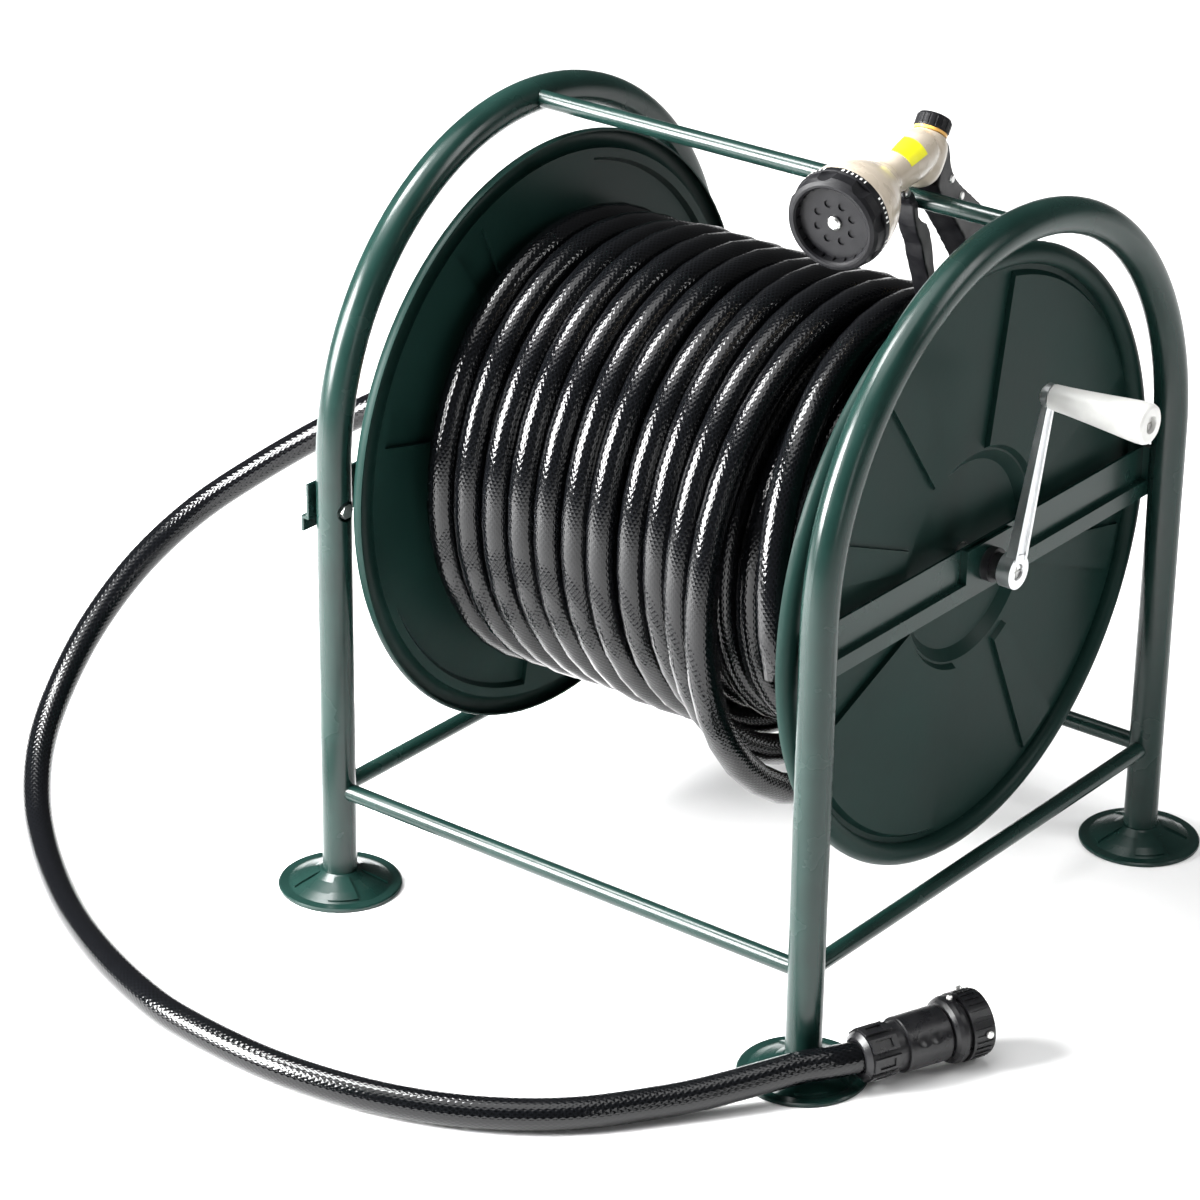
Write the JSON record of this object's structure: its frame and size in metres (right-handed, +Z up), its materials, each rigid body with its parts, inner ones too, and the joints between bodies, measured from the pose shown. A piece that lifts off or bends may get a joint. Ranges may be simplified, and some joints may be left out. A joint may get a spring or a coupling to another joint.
{
  "type": "garden hose reel cart",
  "caption": "Free-standing garden hose reel on a tube stand, with crank, wound hose, leader hose with tap connector, and a spray gun hung on the top rail.",
  "frame": {"origin": "middle of the box of the stand, reel, swivel and crank grip, at floor level, without the leader hose and its fittings", "axes": "+Z up, +X along the reel axle towards the crank, -Y towards the front, where the spray gun points"},
  "size_m": [0.8125, 0.7295, 0.6107],
  "materials": {
    "green_paint": "satin dark green enamel",
    "zinc": "bright zinc plate",
    "nylon": "matte",
    "black_hose": "satin black with lengthwise sheen",
    "brass": "turned",
    "white_plastic": "satin",
    "black_plastic": "fine textured",
    "seal_rubber": "matte",
    "cream_paint": "gloss enamel",
    "dial_plastic": "satin",
    "grip_rubber": "soft matte",
    "orange_plastic": "gloss",
    "label": "printed film"
  },
  "bodies": {
    "stand": {"hoop_left": "green_paint", "hoop_right": "green_paint", "rail_front": "green_paint", "rail_rear": "green_paint", "rail_side_left": "green_paint", "rail_side_right": "green_paint", "top_rail": "green_paint", "foot_front_left": "green_paint", "foot_front_right": "green_paint", "foot_rear_left": "green_paint", "foot_rear_right": "green_paint", "crossbar_left": "green_paint", "crossbar_right": "green_paint", "bolt_front": "zinc", "bolt_rear": "zinc", "nut_front": "zinc", "nut_rear": "zinc", "bearing_left": "nylon", "bearing_right": "nylon", "swivel_body": "black_plastic", "swivel_seal": "seal_rubber", "hose_clamp": "zinc", "leader_hose": "black_hose", "hose_nut": "black_plastic", "connector_body": "black_plastic"},
    "reel": {"flange_left": "green_paint", "flange_right": "green_paint", "drum_core": "green_paint", "spindle": "brass", "set_collar": "zinc", "axle_stub": "zinc", "outlet_elbow": "brass", "hose_inner_layer": "black_hose", "hose_outer_layer": "black_hose", "hose_slack_turns": "black_hose", "hose_end_coupling": "brass", "crank_arm": "zinc", "crank_screw": "zinc", "grip_pin": "zinc"},
    "grip": {"crank_grip": "white_plastic"},
    "collar": {"release_collar": "black_plastic"},
    "adaptor": {"adaptor_body": "black_plastic", "adaptor_ring": "black_plastic", "adaptor_sleeve": "seal_rubber", "clamp_screws": "zinc"},
    "gun": {"gun_body": "cream_paint", "gun_bell": "cream_paint", "dial_screw": "zinc", "gun_handle": "grip_rubber", "handle_rivets": "zinc", "trigger_pin": "zinc", "knob_ring": "orange_plastic", "gun_label": "label", "inlet_tail": "brass"},
    "dial": {"gun_dial": "dial_plastic"},
    "trigger": {"trigger": "grip_rubber"},
    "knob": {"flow_knob": "dial_plastic"}
  },
  "joints": [
    {"name": "reel_spin", "type": "hinge", "parent": "stand", "child": "reel", "pos_m": [-0.0116, 0, 0.303], "axis": [1, 0, 0], "continuous": true},
    {"name": "grip_spin", "type": "hinge", "parent": "reel", "child": "grip", "pos_m": [0.2484, 0.024, 0.427], "axis": [1, 0, 0], "continuous": true},
    {"name": "collar_slide", "type": "slide", "parent": "stand", "child": "collar", "axis": [-0.3697, -0.9291, 0], "range_m": [0, 0.0055], "stiffness_N_per_m": 300},
    {"name": "adaptor_spin", "type": "hinge", "parent": "stand", "child": "adaptor", "pos_m": [0.26983, -0.13202, 0.0245], "axis": [0.3697, 0.9291, 0], "continuous": true},
    {"name": "gun_lift", "type": "slide", "parent": "stand", "child": "gun", "axis": [0.0765, -0.6053, 0.7923], "range_m": [0, 0.15]},
    {"name": "dial_turn", "type": "hinge", "parent": "gun", "child": "dial", "pos_m": [0.12832, -0.11258, 0.57146], "axis": [0.1242, -0.9834, -0.1323], "continuous": true},
    {"name": "trigger_pull", "type": "hinge", "parent": "gun", "child": "trigger", "pos_m": [0.11734, -0.02564, 0.56489], "axis": [0.9921, 0.1253, 0], "range_deg": [0, 8], "stiffness_Nm_per_rad": 1.2},
    {"name": "knob_turn", "type": "hinge", "parent": "gun", "child": "knob", "pos_m": [0.11206, 0.01612, 0.59351], "axis": [-0.0779, 0.6163, 0.7837], "range_deg": [-90, 180]}
  ]
}
